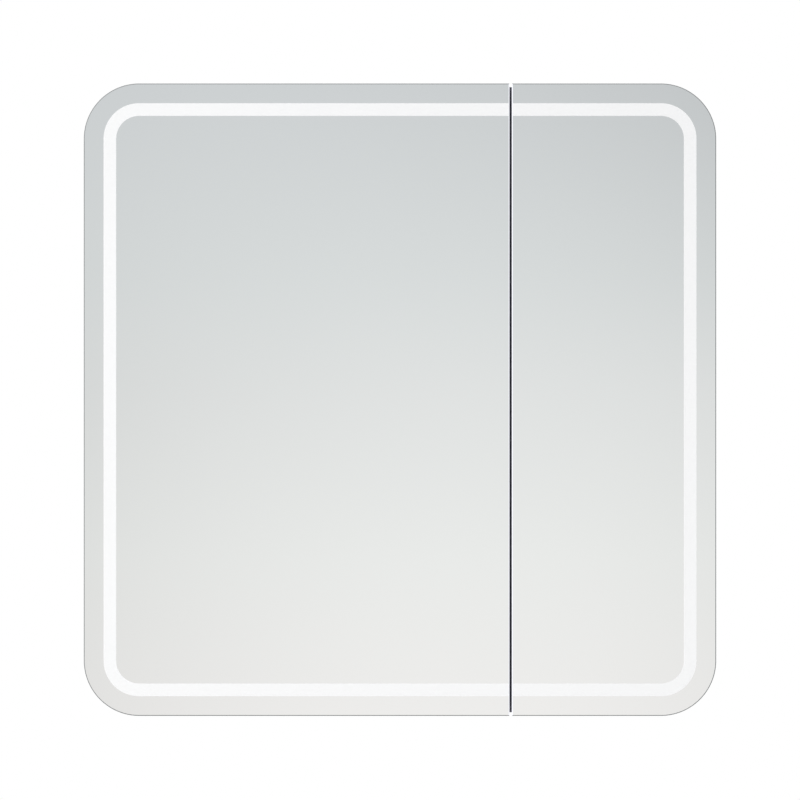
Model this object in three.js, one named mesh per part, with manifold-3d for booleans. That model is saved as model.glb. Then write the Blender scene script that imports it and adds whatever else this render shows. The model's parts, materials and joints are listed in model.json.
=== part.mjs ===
// A wall-hung mirror cabinet: a rounded-corner box with one wide and one narrow mirrored door.
// A frosted band runs round both doors near their edge, and a light tape behind it makes it glow.
// Millimetres. +X is to the right, +Z up, and the doors face -Y. The plane Y = 0 is the wall.
// The origin is the middle of the hanging rail's rear face, level with the two keyhole hangers.
import * as THREE from "three";
import { mergeVertices } from "three/addons/utils/BufferGeometryUtils.js";
import Module from "manifold-3d";

const wasm = await Module();
wasm.setup();

// ---------------------------------------------------------------- driving dimensions

const width = 800; // across both doors
const height = 800; // of the doors
const depth = 150; // wall to mirror face
const cornerRadius = 70; // of the door pair's outer corners
const doorSplit = 540; // left edge to the middle of the gap between the doors
const doorGap = 3; // between the two doors
const doorOverhang = 3; // doors beyond the box, all round
const doorStandOff = 3; // back of the doors to the front of the box

const glassThickness = 4;
const bondThickness = 0.5; // adhesive between mirror and door core
const coreThickness = 18;
const coreInset = 1; // core edge behind the mirror edge

const bandMargin = 25; // door edge to the frosted band
const bandWidth = 16;
const channelDepth = 7; // light channel cut in the core behind the band
const channelStop = 2; // core left standing at the meeting edge
const diffuserThickness = 3;
const tapeWidth = 8;
const tapeThickness = 1.2;

const panelThickness = 16;
const backThickness = 3;
const backTongue = 5; // how far the back panel sits in the box's groove
const railThickness = 16;
const railHeight = 80;
const lowerRailHeight = 60;
const shelfThickness = 5;
const shelfSetBack = 16; // shelf edge behind the front of the box
const shelfShare = 1 / 6; // shelf height above and below the middle, over the height

const clearance = 0.3; // between pieces that touch
const slideClearance = 1; // at the ends of each shelf

const hinge = {
  pinInset: 7.5, // door edge to the pin's axis
  pinDepth: 7.5, // back of the door to the pin's axis
  pinRadius: 1.25,
  pinFit: 0.1, // round the pin where the housing holds it
  pinSeat: 1.2, // length of pin in each cheek of the housing
  eyeRadius: 2.75,
  strapThickness: 2.5,
  strapWidth: 14,
  strapBend: 3.5, // inside radius of the bend
  strapReach: 46, // back of the door to the strap's end
  plateThickness: 2.2,
  plateSetBack: 8, // front of the box to the plate
  plateLength: 39,
  plateWidth: 18,
  wingHeight: 48,
  wingWidth: 14,
  trayGap: 1.9, // strap to the inside of the housing
  trayEdgeGap: 0.8, // eye to the housing's side at the door's edge
  trayEndGap: 1, // strap to the housing's cheeks
  housingWall: 1,
  cheek: 2, // thickness of the housing's ends, which hold the pin
  flangeThickness: 1.2,
  flangeHeight: 46,
  screwRadius: 2,
  screwMargin: 10, // plate's end to the strap's screws
  wingScrewMargin: 7,
  endDistance: 110, // door's end to the outer hinges
};

const hanger = {
  width: 36,
  height: 60,
  thickness: 2,
  inset: 100, // side of the cabinet to the hanger's middle
  headRadius: 6.2,
  slotRadius: 3.1,
  drop: 14, // how far the cabinet settles down on the screw
  pocketWidth: 16,
  pocketHeight: 44,
  pocketDepth: 10,
};
const bumper = { radius: 4, edgeDistance: 40 };
const seal = { width: 10, gap: 1 };
const grommet = { holeRadius: 6, wall: 1.6, lip: 2.2, inset: 40, drop: 40 };
const driver = { x: 60, length: 170, height: 30, wallGap: 2, earLength: 8, earThickness: 2 };
const terminal = { length: 30, height: 22, wallGap: 4, gap: 6, holeRadius: 2.2, holeDepth: 10, pitch: 6.5 };
const rocker = {
  fromCorner: 30, // end of the rounded corner to the switch's middle
  behindFront: 30, // front of the box to the switch's middle
  length: 18,
  width: 12,
  bezel: 1.5, // how far the bezel stands round the cut-out
  bezelThickness: 1,
  bodyHeight: 19,
  wall: 1,
  wellDepth: 9,
  endGap: 1.2, // rocker's end to the well's side
  tilt: 9, // degrees either side of level
  proud: 0.6, // of the rocker's waist under the bezel
  pinRadius: 1,
  pinRise: 2, // bottom of the box to the pin's axis
};

// ---------------------------------------------------------------- derived places

const carcassDepth = depth - glassThickness - bondThickness - coreThickness - doorStandOff;
const frontY = -carcassDepth; // front of the box
const doorBackY = frontY - doorStandOff;
const coreFrontY = doorBackY - coreThickness;
const glassBackY = coreFrontY - bondThickness;
const splitX = doorSplit - width / 2;

const boxHalfWidth = width / 2 - doorOverhang;
const boxHalfHeight = height / 2 - doorOverhang;
const boxRadius = cornerRadius - doorOverhang;
const innerHalfWidth = boxHalfWidth - panelThickness;
const innerHalfHeight = boxHalfHeight - panelThickness;
const innerRadius = boxRadius - panelThickness;

const backPanelY = -(railThickness + clearance); // rear face of the back panel
const backFrontY = backPanelY - backThickness;
const railRise = boxHalfHeight - boxRadius - railHeight / 2; // rail's middle above the cabinet's middle
const outerHingeZ = height / 2 - hinge.endDistance;

// ---------------------------------------------------------------- materials

const finish = (color, roughness, metalness = 0) =>
  new THREE.MeshStandardMaterial({ color, roughness, metalness });
const finishes = {
  mirror: finish(0xd9dedf, 0.05, 1),
  board: finish(0xf1f1ef, 0.45),
  glass: finish(0xd5e6e0, 0.05),
  steel: finish(0xb9bcbf, 0.3, 1),
  zincSteel: finish(0xa9adb1, 0.4, 1),
  opal: finish(0xf7f8f8, 0.6),
  tape: finish(0xf4f2e6, 0.5),
  whitePlastic: finish(0xeeeeec, 0.4),
  softDark: finish(0x33343f, 0.8),
  softClear: finish(0xdfe3e4, 0.5),
};

// ---------------------------------------------------------------- solids

// A geometry's shape as a manifold-3d solid.
function solidOf(geometry) {
  const bare = new THREE.BufferGeometry();
  bare.setAttribute("position", geometry.getAttribute("position"));
  if (geometry.index) bare.setIndex(geometry.index);
  const merged = mergeVertices(bare, 1e-4);
  return new wasm.Manifold(
    new wasm.Mesh({
      numProp: 3,
      vertProperties: merged.attributes.position.array,
      triVerts: new Uint32Array(merged.index.array),
    }),
  );
}

// A manifold-3d solid as a geometry.
function geometryOf(solid) {
  const { vertProperties, triVerts } = solid.getMesh();
  const shared = new THREE.BufferGeometry();
  shared.setAttribute("position", new THREE.BufferAttribute(vertProperties, 3));
  shared.setIndex(new THREE.BufferAttribute(triVerts, 1));
  const faceted = shared.toNonIndexed();
  faceted.computeVertexNormals();
  return faceted;
}

const cut = (geometry, ...tools) =>
  geometryOf(tools.reduce((left, tool) => left.subtract(solidOf(tool)), solidOf(geometry)));
const join = (geometry, ...others) =>
  geometryOf(others.reduce((sum, other) => sum.add(solidOf(other)), solidOf(geometry)));
const keepInside = (geometry, tool) => geometryOf(solidOf(geometry).intersect(solidOf(tool)));

// A box between two corners.
function block([x0, y0, z0], [x1, y1, z1]) {
  return new THREE.BoxGeometry(x1 - x0, y1 - y0, z1 - z0).translate(
    (x0 + x1) / 2,
    (y0 + y1) / 2,
    (z0 + z1) / 2,
  );
}

// An outline in X and Z, with its own radius at the left and right corners, as a path of the given kind.
function outline(x0, x1, z0, z1, leftRadius, rightRadius, Kind = THREE.Shape) {
  const path = new Kind();
  const corner = (x, z, radius, start) => {
    if (radius > 0) path.absarc(x, z, radius, start, start + Math.PI / 2, false);
    else path.lineTo(x, z);
  };
  path.moveTo(x0 + leftRadius, z0);
  path.lineTo(x1 - rightRadius, z0);
  corner(x1 - rightRadius, z0 + rightRadius, rightRadius, -Math.PI / 2);
  path.lineTo(x1, z1 - rightRadius);
  corner(x1 - rightRadius, z1 - rightRadius, rightRadius, 0);
  path.lineTo(x0 + leftRadius, z1);
  corner(x0 + leftRadius, z1 - leftRadius, leftRadius, Math.PI / 2);
  path.lineTo(x0, z0 + leftRadius);
  corner(x0 + leftRadius, z0 + leftRadius, leftRadius, Math.PI);
  return path;
}

// A shape drawn in X and Z, thickened from Y = rear towards the viewer.
function facePlate(shape, rear, thickness, curveSegments = 6) {
  return new THREE.ExtrudeGeometry(shape, { depth: thickness, bevelEnabled: false, curveSegments })
    .rotateX(Math.PI / 2)
    .translate(0, rear, 0);
}

// A shape drawn in X and Y, thickened evenly above and below Z = 0.
function levelPlate(shape, thickness, curveSegments = 3) {
  return new THREE.ExtrudeGeometry(shape, { depth: thickness, bevelEnabled: false, curveSegments }).translate(
    0,
    0,
    -thickness / 2,
  );
}

// A flat ring that follows the door pair's outline, between two distances from its edge.
function bandRing(outerInset, innerInset, rear, thickness) {
  const ring = outline(
    -width / 2 + outerInset,
    width / 2 - outerInset,
    -height / 2 + outerInset,
    height / 2 - outerInset,
    cornerRadius - outerInset,
    cornerRadius - outerInset,
  );
  ring.holes.push(
    outline(
      -width / 2 + innerInset,
      width / 2 - innerInset,
      -height / 2 + innerInset,
      height / 2 - innerInset,
      cornerRadius - innerInset,
      cornerRadius - innerInset,
      THREE.Path,
    ),
  );
  return facePlate(ring, rear, thickness);
}

const cylinderZ = (radius, length, x, y, z, sides = 12) =>
  new THREE.CylinderGeometry(radius, radius, length, sides).rotateX(Math.PI / 2).translate(x, y, z);
const cylinderY = (radius, length, x, y, z, sides = 20) =>
  new THREE.CylinderGeometry(radius, radius, length, sides).translate(x, y, z);
const cylinderX = (radius, length, x, y, z, sides = 8) =>
  new THREE.CylinderGeometry(radius, radius, length, sides).rotateZ(Math.PI / 2).translate(x, y, z);

function addMesh(group, name, geometry, material) {
  const mesh = new THREE.Mesh(geometry, material);
  mesh.name = name;
  group.add(mesh);
  return mesh;
}

// ---------------------------------------------------------------- the box

// Four straight panels and four quarter-round posts, all grooved for the back panel.
function buildBox() {
  const group = new THREE.Group();
  const grooveShape = outline(
    -innerHalfWidth - backTongue - clearance,
    innerHalfWidth + backTongue + clearance,
    -innerHalfHeight - backTongue - clearance,
    innerHalfHeight + backTongue + clearance,
    innerRadius + backTongue + clearance,
    innerRadius + backTongue + clearance,
  );
  const groove = facePlate(grooveShape, backPanelY + clearance, backThickness + 2 * clearance);
  const cornerX = boxHalfWidth - boxRadius;
  const cornerZ = boxHalfHeight - boxRadius;
  const straightX = cornerX - clearance / 2;
  const straightZ = cornerZ - clearance / 2;

  const sides = { left: -1, right: 1 };
  for (const [name, sign] of Object.entries(sides)) {
    const [x0, x1] = [innerHalfWidth * sign, boxHalfWidth * sign].sort((a, b) => a - b);
    const side = block([x0, frontY, -straightZ], [x1, 0, straightZ]);
    addMesh(group, `side_panel_${name}`, cut(side, groove), finishes.board);
  }
  const ends = { bottom: -1, top: 1 };
  for (const [name, sign] of Object.entries(ends)) {
    const [z0, z1] = [innerHalfHeight * sign, boxHalfHeight * sign].sort((a, b) => a - b);
    const end = block([-straightX, frontY, z0], [straightX, 0, z1]);
    const tools = name === "bottom" ? [groove, rockerCutOut()] : [groove];
    addMesh(group, `${name}_panel`, cut(end, ...tools), finishes.board);
  }
  const quarters = ["top_right", "top_left", "bottom_left", "bottom_right"];
  for (const [turns, name] of quarters.entries()) {
    const start = (turns * Math.PI) / 2;
    const end = start + Math.PI / 2;
    const x = cornerX * Math.sign(Math.cos(start + Math.PI / 4));
    const z = cornerZ * Math.sign(Math.sin(start + Math.PI / 4));
    const quarter = new THREE.Shape();
    quarter.absarc(x, z, boxRadius, start, end, false);
    quarter.absarc(x, z, innerRadius, end, start, true);
    addMesh(group, `corner_post_${name}`, cut(facePlate(quarter, 0, carcassDepth), groove), finishes.board);
  }

  const divider = block(
    [splitX - panelThickness / 2, frontY, -innerHalfHeight + clearance / 2],
    [splitX + panelThickness / 2, backFrontY - clearance, innerHalfHeight - clearance / 2],
  );
  addMesh(group, "divider_panel", divider, finishes.board);

  const backShape = outline(
    -innerHalfWidth - backTongue,
    innerHalfWidth + backTongue,
    -innerHalfHeight - backTongue,
    innerHalfHeight + backTongue,
    innerRadius + backTongue,
    innerRadius + backTongue,
  );
  const leadHoles = leadPlaces().map(([x, z]) =>
    cylinderY(grommet.holeRadius, 4 * backThickness, x, backPanelY, z),
  );
  const back = facePlate(backShape, backPanelY, backThickness);
  addMesh(group, "back_panel", cut(back, ...leadHoles), finishes.board);

  const sealStrip = block(
    [splitX - seal.width / 2, doorBackY + seal.gap, -boxHalfHeight],
    [splitX + seal.width / 2, frontY, boxHalfHeight],
  );
  addMesh(group, "divider_seal", sealStrip, finishes.softDark);
  return group;
}

// Where the light leads pass through the back panel, one beside each side panel.
function leadPlaces() {
  return [-1, 1].map((sign) => [
    (innerHalfWidth - grommet.inset) * sign,
    railRise - railHeight / 2 - grommet.drop,
  ]);
}

function buildGrommets() {
  const group = new THREE.Group();
  for (const [index, [x, z]] of leadPlaces().entries()) {
    const neck = grommet.holeRadius - clearance;
    const lip = neck + grommet.lip;
    const half = backThickness / 2 + clearance;
    const bore = neck - grommet.wall;
    // Closed section of the rubber, turned about the hole's axis: radius, then distance along it.
    const section = [
      [bore, -half - grommet.wall],
      [lip, -half - grommet.wall],
      [lip, -half],
      [neck, -half],
      [neck, half],
      [lip, half],
      [lip, half + grommet.wall],
      [bore, half + grommet.wall],
      [bore, -half - grommet.wall],
    ].map(([radius, along]) => new THREE.Vector2(radius, along));
    const ring = new THREE.LatheGeometry(section, 20);
    const mesh = addMesh(group, `lead_grommet_${["left", "right"][index]}`, ring, finishes.softDark);
    mesh.position.set(x, backPanelY - backThickness / 2, z);
  }
  return group;
}

// ---------------------------------------------------------------- rails and hangers behind the back panel

function buildRails() {
  const group = new THREE.Group();
  const reach = innerHalfWidth - clearance;
  const lowerRailZ = -railRise;
  const lower = block(
    [-reach, -railThickness, lowerRailZ - lowerRailHeight / 2],
    [reach, 0, lowerRailZ + lowerRailHeight / 2],
  );
  addMesh(group, "lower_rail", lower, finishes.board);

  const hangerX = width / 2 - hanger.inset;
  const hangerPlaces = { left: -hangerX, right: hangerX };
  const pockets = [];
  for (const [name, x] of Object.entries(hangerPlaces)) {
    const recessX = hanger.width / 2 + clearance;
    const recessZ = hanger.height / 2 + clearance;
    const recessDepth = hanger.thickness + clearance;
    pockets.push(block([x - recessX, -recessDepth, railRise - recessZ], [x + recessX, 1, railRise + recessZ]));
    pockets.push(
      block(
        [x - hanger.pocketWidth / 2, -hanger.pocketDepth, railRise - hanger.pocketHeight / 2],
        [x + hanger.pocketWidth / 2, 1, railRise + hanger.pocketHeight / 2],
      ),
    );
    // Keyhole: a round entry for the screw's head, and a narrow slot above it that the screw slides into.
    const plate = block(
      [x - hanger.width / 2, -hanger.thickness, railRise - hanger.height / 2],
      [x + hanger.width / 2, 0, railRise + hanger.height / 2],
    );
    const entryZ = railRise - hanger.drop / 2;
    const slotTop = entryZ + hanger.drop;
    const through = 2 * hanger.thickness;
    const entry = cylinderY(hanger.headRadius, 2 * through, x, 0, entryZ);
    const slot = block([x - hanger.slotRadius, -through, entryZ], [x + hanger.slotRadius, through, slotTop]);
    const seat = cylinderY(hanger.slotRadius, 2 * through, x, 0, slotTop);
    addMesh(group, `hanger_plate_${name}`, cut(plate, entry, slot, seat), finishes.zincSteel);
  }
  const rail = block(
    [-reach, -railThickness, railRise - railHeight / 2],
    [reach, 0, railRise + railHeight / 2],
  );
  addMesh(group, "hanging_rail", cut(rail, ...pockets), finishes.board);
  return group;
}

// ---------------------------------------------------------------- shelves

function buildShelves() {
  const group = new THREE.Group();
  const bays = {
    wide: [-innerHalfWidth, splitX - panelThickness / 2],
    narrow: [splitX + panelThickness / 2, innerHalfWidth],
  };
  const heights = { lower: -height * shelfShare, upper: height * shelfShare };
  for (const [bayName, [x0, x1]] of Object.entries(bays)) {
    for (const [levelName, z] of Object.entries(heights)) {
      const shelf = block(
        [x0 + slideClearance, frontY + shelfSetBack, z - shelfThickness / 2],
        [x1 - slideClearance, backFrontY - slideClearance, z + shelfThickness / 2],
      );
      addMesh(group, `${bayName}_shelf_${levelName}`, shelf, finishes.glass);
    }
  }
  return group;
}

// ---------------------------------------------------------------- light supply and switch

// The light's driver and the mains terminal block, side by side above the rail, behind the back panel.
function buildSupply() {
  const group = new THREE.Group();
  const z = (railRise + railHeight / 2 + innerHalfHeight) / 2;
  const front = backPanelY + clearance;
  const x0 = driver.x - driver.length / 2;
  const x1 = driver.x + driver.length / 2;
  const body = block([x0, front, z - driver.height / 2], [x1, -driver.wallGap, z + driver.height / 2]);
  const ears = block(
    [x0 - driver.earLength, front, z - driver.height / 4],
    [x1 + driver.earLength, front + driver.earThickness, z + driver.height / 4],
  );
  const earHoles = [x0 - driver.earLength / 2, x1 + driver.earLength / 2].map((x) =>
    cylinderY(hinge.screwRadius, 4 * driver.earThickness, x, front + driver.earThickness / 2, z, 12),
  );
  addMesh(group, "light_driver", cut(join(body, ears), ...earHoles), finishes.whitePlastic);

  const terminalX = x1 + driver.earLength + terminal.gap;
  const end = terminalX + terminal.length;
  const blank = block(
    [terminalX, front, z - terminal.height / 2],
    [end, -terminal.wallGap, z + terminal.height / 2],
  );
  const middleY = (front - terminal.wallGap) / 2;
  const wireways = [-1, 0, 1].map((place) =>
    cylinderX(terminal.holeRadius, 2 * terminal.holeDepth, end, middleY, z + place * terminal.pitch),
  );
  addMesh(group, "mains_terminal_block", cut(blank, ...wireways), finishes.whitePlastic);
  return group;
}

const rockerPlace = new THREE.Vector3(
  boxHalfWidth - boxRadius - rocker.fromCorner,
  frontY + rocker.behindFront,
  -boxHalfHeight,
);

function rockerCutOut() {
  const halfX = rocker.length / 2 + rocker.wall + clearance;
  const halfY = rocker.width / 2 + rocker.wall + clearance;
  const { x, y, z } = rockerPlace;
  return block(
    [x - halfX, y - halfY, z - panelThickness],
    [x + halfX, y + halfY, z + 2 * panelThickness],
  );
}

// The switch's frame sits in the bottom panel; the rocker tilts in its well about a pin along Y.
function buildSwitch() {
  const group = new THREE.Group();
  group.position.copy(rockerPlace);
  const bodyX = rocker.length / 2 + rocker.wall;
  const bodyY = rocker.width / 2 + rocker.wall;
  const underside = -rocker.bezelThickness - clearance;
  const body = block([-bodyX, -bodyY, underside], [bodyX, bodyY, rocker.bodyHeight]);
  const bezel = block(
    [-bodyX - rocker.bezel, -bodyY - rocker.bezel, underside],
    [bodyX + rocker.bezel, bodyY + rocker.bezel, -clearance],
  );
  const well = block(
    [-rocker.length / 2, -rocker.width / 2, 2 * underside],
    [rocker.length / 2, rocker.width / 2, rocker.wellDepth],
  );
  const pinHole = cylinderY(
    rocker.pinRadius + clearance,
    rocker.width + rocker.wall,
    0,
    0,
    rocker.pinRise,
    12,
  );
  addMesh(group, "switch_frame", cut(join(body, bezel), well, pinHole), finishes.whitePlastic);

  // The rocker's side, drawn about its pin: a waisted face below, tapering to a narrow top.
  const halfLength = rocker.length / 2 - rocker.endGap;
  const waist = underside - rocker.proud + clearance - rocker.pinRise;
  const rise = Math.tan(THREE.MathUtils.degToRad(rocker.tilt)) * halfLength;
  const profile = new THREE.Shape();
  profile.moveTo(-halfLength, waist - rise / 2);
  profile.lineTo(0, waist + rise / 2);
  profile.lineTo(halfLength, waist - rise / 2);
  profile.lineTo(halfLength - rocker.wall, rocker.pinRadius);
  profile.lineTo(halfLength / 3, 3 * rocker.pinRadius);
  profile.lineTo(-halfLength / 3, 3 * rocker.pinRadius);
  profile.lineTo(rocker.wall - halfLength, rocker.pinRadius);
  profile.closePath();
  const paddle = facePlate(profile, rocker.width / 2 - clearance, rocker.width - 2 * clearance);
  const pin = cylinderY(rocker.pinRadius, rocker.width + rocker.wall - 2 * clearance, 0, 0, 0, 12);
  const mesh = addMesh(group, "switch_rocker", join(paddle, pin), finishes.whitePlastic);
  mesh.position.z = rocker.pinRise;
  mesh.rotation.y = THREE.MathUtils.degToRad(rocker.tilt);
  return group;
}

// ---------------------------------------------------------------- hinges

// A hinge drawn at the left of its door: X runs inwards from the door's outer edge, Y rearwards from the
// door's back, and Z = 0 is the hinge's middle. The strap is fixed to the box and its eye turns on the
// pin that the door's sunk housing holds, so the door swings about that pin.
const hingeSide = doorOverhang + panelThickness; // inner face of the side panel
const strapInner = hingeSide + hinge.plateThickness + clearance;
const strapOuter = strapInner + hinge.strapThickness;
const strapFront = -hinge.pinDepth - hinge.strapThickness / 2;
const bendX = strapInner - hinge.strapBend;
const bendY = strapFront + hinge.strapThickness + hinge.strapBend;
const trayWidth = hinge.strapWidth + 2 * hinge.trayEndGap;
const housingWidth = trayWidth + 2 * hinge.cheek;

// Side outline of the housing's tray, so far outside its inner faces and reaching back to the given place.
function trayShape(outside, rear) {
  const radius = hinge.strapBend + hinge.strapThickness + hinge.trayGap + outside;
  const left = hinge.pinInset - hinge.eyeRadius - hinge.trayEdgeGap - outside;
  const shape = new THREE.Shape();
  shape.moveTo(left, rear);
  shape.lineTo(left, bendY - radius);
  shape.lineTo(bendX, bendY - radius);
  shape.absarc(bendX, bendY, radius, -Math.PI / 2, 0, false);
  shape.lineTo(bendX + radius, rear);
  shape.closePath();
  return shape;
}

// What is cut from the door's core for one housing.
const housingPocket = () =>
  levelPlate(trayShape(hinge.housingWall + clearance, clearance), housingWidth + 2 * clearance);

// Side outline of the strap: from the eye inwards, round the bend and back along the side panel.
function strapShape() {
  const shape = new THREE.Shape();
  shape.moveTo(hinge.pinInset, strapFront);
  shape.lineTo(bendX, strapFront);
  shape.absarc(bendX, bendY, hinge.strapBend + hinge.strapThickness, -Math.PI / 2, 0, false);
  shape.lineTo(strapOuter, hinge.strapReach);
  shape.lineTo(strapInner, hinge.strapReach);
  shape.lineTo(strapInner, bendY);
  shape.absarc(bendX, bendY, hinge.strapBend, 0, -Math.PI / 2, true);
  shape.lineTo(hinge.pinInset, strapFront + hinge.strapThickness);
  shape.closePath();
  return shape;
}

function buildHinge(prefix) {
  const group = new THREE.Group();
  const plateFront = doorStandOff + hinge.plateSetBack;
  const plateRear = plateFront + hinge.plateLength;
  const middleY = (plateFront + plateRear) / 2;
  const screwYs = [plateFront + hinge.screwMargin, plateRear - hinge.screwMargin];
  const atPin = (radius, length) => cylinderZ(radius, length, hinge.pinInset, -hinge.pinDepth, 0);

  const strapHoles = screwYs.map((y) =>
    cylinderX(hinge.screwRadius + clearance, 4 * hinge.strapThickness, strapInner, y, 0),
  );
  const eye = atPin(hinge.eyeRadius, hinge.strapWidth);
  const eyeHole = atPin(hinge.pinRadius + clearance, 2 * hinge.strapWidth);
  const arm = cut(join(levelPlate(strapShape(), hinge.strapWidth), eye), eyeHole, ...strapHoles);
  addMesh(group, `${prefix}_arm`, arm, finishes.steel);

  const plateInner = hingeSide + hinge.plateThickness;
  const spine = block(
    [hingeSide, plateFront, -hinge.plateWidth / 2],
    [plateInner, plateRear, hinge.plateWidth / 2],
  );
  const wings = block(
    [hingeSide, middleY - hinge.wingWidth / 2, -hinge.wingHeight / 2],
    [plateInner, middleY + hinge.wingWidth / 2, hinge.wingHeight / 2],
  );
  const screwHole = (y, z) => cylinderX(hinge.screwRadius, 4 * hinge.plateThickness, hingeSide, y, z);
  const wingScrewZ = hinge.wingHeight / 2 - hinge.wingScrewMargin;
  const plateHoles = [
    ...screwYs.map((y) => screwHole(y, 0)),
    screwHole(middleY, wingScrewZ),
    screwHole(middleY, -wingScrewZ),
  ];
  addMesh(group, `${prefix}_plate`, cut(join(spine, wings), ...plateHoles), finishes.zincSteel);

  const shell = levelPlate(trayShape(hinge.housingWall, 0), housingWidth);
  const hollow = levelPlate(trayShape(0, 2 * hinge.flangeThickness), trayWidth);
  shell.computeBoundingBox();
  const { min, max } = shell.boundingBox;
  const flange = block(
    [min.x, 0, -hinge.flangeHeight / 2],
    [max.x, hinge.flangeThickness, hinge.flangeHeight / 2],
  );
  const pinBore = atPin(hinge.pinRadius + hinge.pinFit, trayWidth + 2 * (hinge.pinSeat + clearance));
  const flangeScrewZ = (housingWidth + hinge.flangeHeight) / 4;
  const flangeHoles = [-flangeScrewZ, flangeScrewZ].map((z) =>
    cylinderY(hinge.screwRadius, 4 * hinge.flangeThickness, (min.x + max.x) / 2, 0, z, 12),
  );
  const housing = cut(join(shell, flange), hollow, pinBore, ...flangeHoles);
  addMesh(group, `${prefix}_housing`, housing, finishes.steel);

  addMesh(group, `${prefix}_pin`, atPin(hinge.pinRadius, trayWidth + 2 * hinge.pinSeat), finishes.zincSteel);
  return group;
}

// ---------------------------------------------------------------- doors

const doors = {
  left: {
    edges: [-width / 2, splitX - doorGap / 2],
    radii: [cornerRadius, 0],
    hinges: { top: outerHingeZ, middle: 0, bottom: -outerHingeZ },
    mirrored: false,
  },
  right: {
    edges: [splitX + doorGap / 2, width / 2],
    radii: [0, cornerRadius],
    hinges: { top: outerHingeZ, bottom: -outerHingeZ },
    mirrored: true,
  },
};

function buildDoor(name, { edges: [x0, x1], radii, hinges, mirrored }) {
  const group = new THREE.Group();
  const [leftRadius, rightRadius] = radii;
  const glassShape = outline(x0, x1, -height / 2, height / 2, leftRadius, rightRadius);
  const glass = facePlate(glassShape, glassBackY, glassThickness, 12);
  addMesh(group, `${name}_mirror`, glass, finishes.mirror);

  const inset = (radius) => Math.max(0, radius - coreInset);
  const coreShape = outline(
    x0 + coreInset,
    x1 - coreInset,
    -height / 2 + coreInset,
    height / 2 - coreInset,
    inset(leftRadius),
    inset(rightRadius),
  );
  // The light channel stops short of the edge where the doors meet.
  const stop = coreInset + channelStop;
  const zone = block(
    [mirrored ? x0 + stop : x0, glassBackY, -height],
    [mirrored ? x1 : x1 - stop, doorBackY, height],
  );
  const inner = zone.clone().translate(mirrored ? clearance : -clearance, 0, 0);
  const channelRing = bandRing(
    bandMargin,
    bandMargin + bandWidth,
    coreFrontY + channelDepth,
    channelDepth + bondThickness,
  );
  const channel = keepInside(channelRing, zone);
  const pockets = Object.values(hinges).map((z) => {
    const pocket = solidOf(housingPocket()).translate([-width / 2, doorBackY, z]);
    return geometryOf(mirrored ? pocket.mirror([1, 0, 0]) : pocket);
  });
  const core = cut(facePlate(coreShape, doorBackY, coreThickness), channel, ...pockets);
  addMesh(group, `${name}_door_core`, core, finishes.board);

  const diffuser = bandRing(
    bandMargin + clearance,
    bandMargin + bandWidth - clearance,
    coreFrontY + diffuserThickness,
    diffuserThickness,
  );
  addMesh(group, `${name}_light_diffuser`, keepInside(diffuser, inner), finishes.opal);

  const tapeInset = bandMargin + (bandWidth - tapeWidth) / 2;
  const tapeRear = coreFrontY + channelDepth - clearance;
  const tape = bandRing(tapeInset, tapeInset + tapeWidth, tapeRear, tapeThickness);
  addMesh(group, `${name}_light_tape`, keepInside(tape, inner), finishes.tape);

  const bumperX = mirrored ? x0 + bumper.edgeDistance : x1 - bumper.edgeDistance;
  const bumperHeight = doorStandOff - clearance;
  for (const [end, sign] of Object.entries({ top: 1, bottom: -1 })) {
    const z = sign * (boxHalfHeight - panelThickness / 2);
    const dome = new THREE.LatheGeometry(
      [
        [0, 0],
        [bumper.radius, 0],
        [bumper.radius, bumperHeight * 0.45],
        [bumper.radius * 0.72, bumperHeight * 0.85],
        [0, bumperHeight],
      ].map(([radius, along]) => new THREE.Vector2(radius, along)),
      16,
    );
    const mesh = addMesh(group, `${name}_door_bumper_${end}`, dome, finishes.softClear);
    mesh.position.set(bumperX, doorBackY, z);
  }

  for (const [level, z] of Object.entries(hinges)) {
    const set = buildHinge(`${name}_hinge_${level}`);
    set.position.set(mirrored ? width / 2 : -width / 2, doorBackY, z);
    if (mirrored) set.scale.x = -1;
    group.add(set);
  }
  return group;
}

// ---------------------------------------------------------------- the cabinet

const cabinet = new THREE.Group();
cabinet.name = "mirror_cabinet";
cabinet.position.z = -railRise;
cabinet.add(
  buildBox(),
  buildGrommets(),
  buildRails(),
  buildShelves(),
  buildSupply(),
  buildSwitch(),
  ...Object.entries(doors).map(([name, door]) => buildDoor(name, door)),
);
const assembly = new THREE.Group();
assembly.add(cabinet);

export default assembly;
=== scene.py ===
"""A mirror cabinet with a lit band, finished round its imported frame.

The file is laid out as an add-on, and run as a script.
"""

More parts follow.
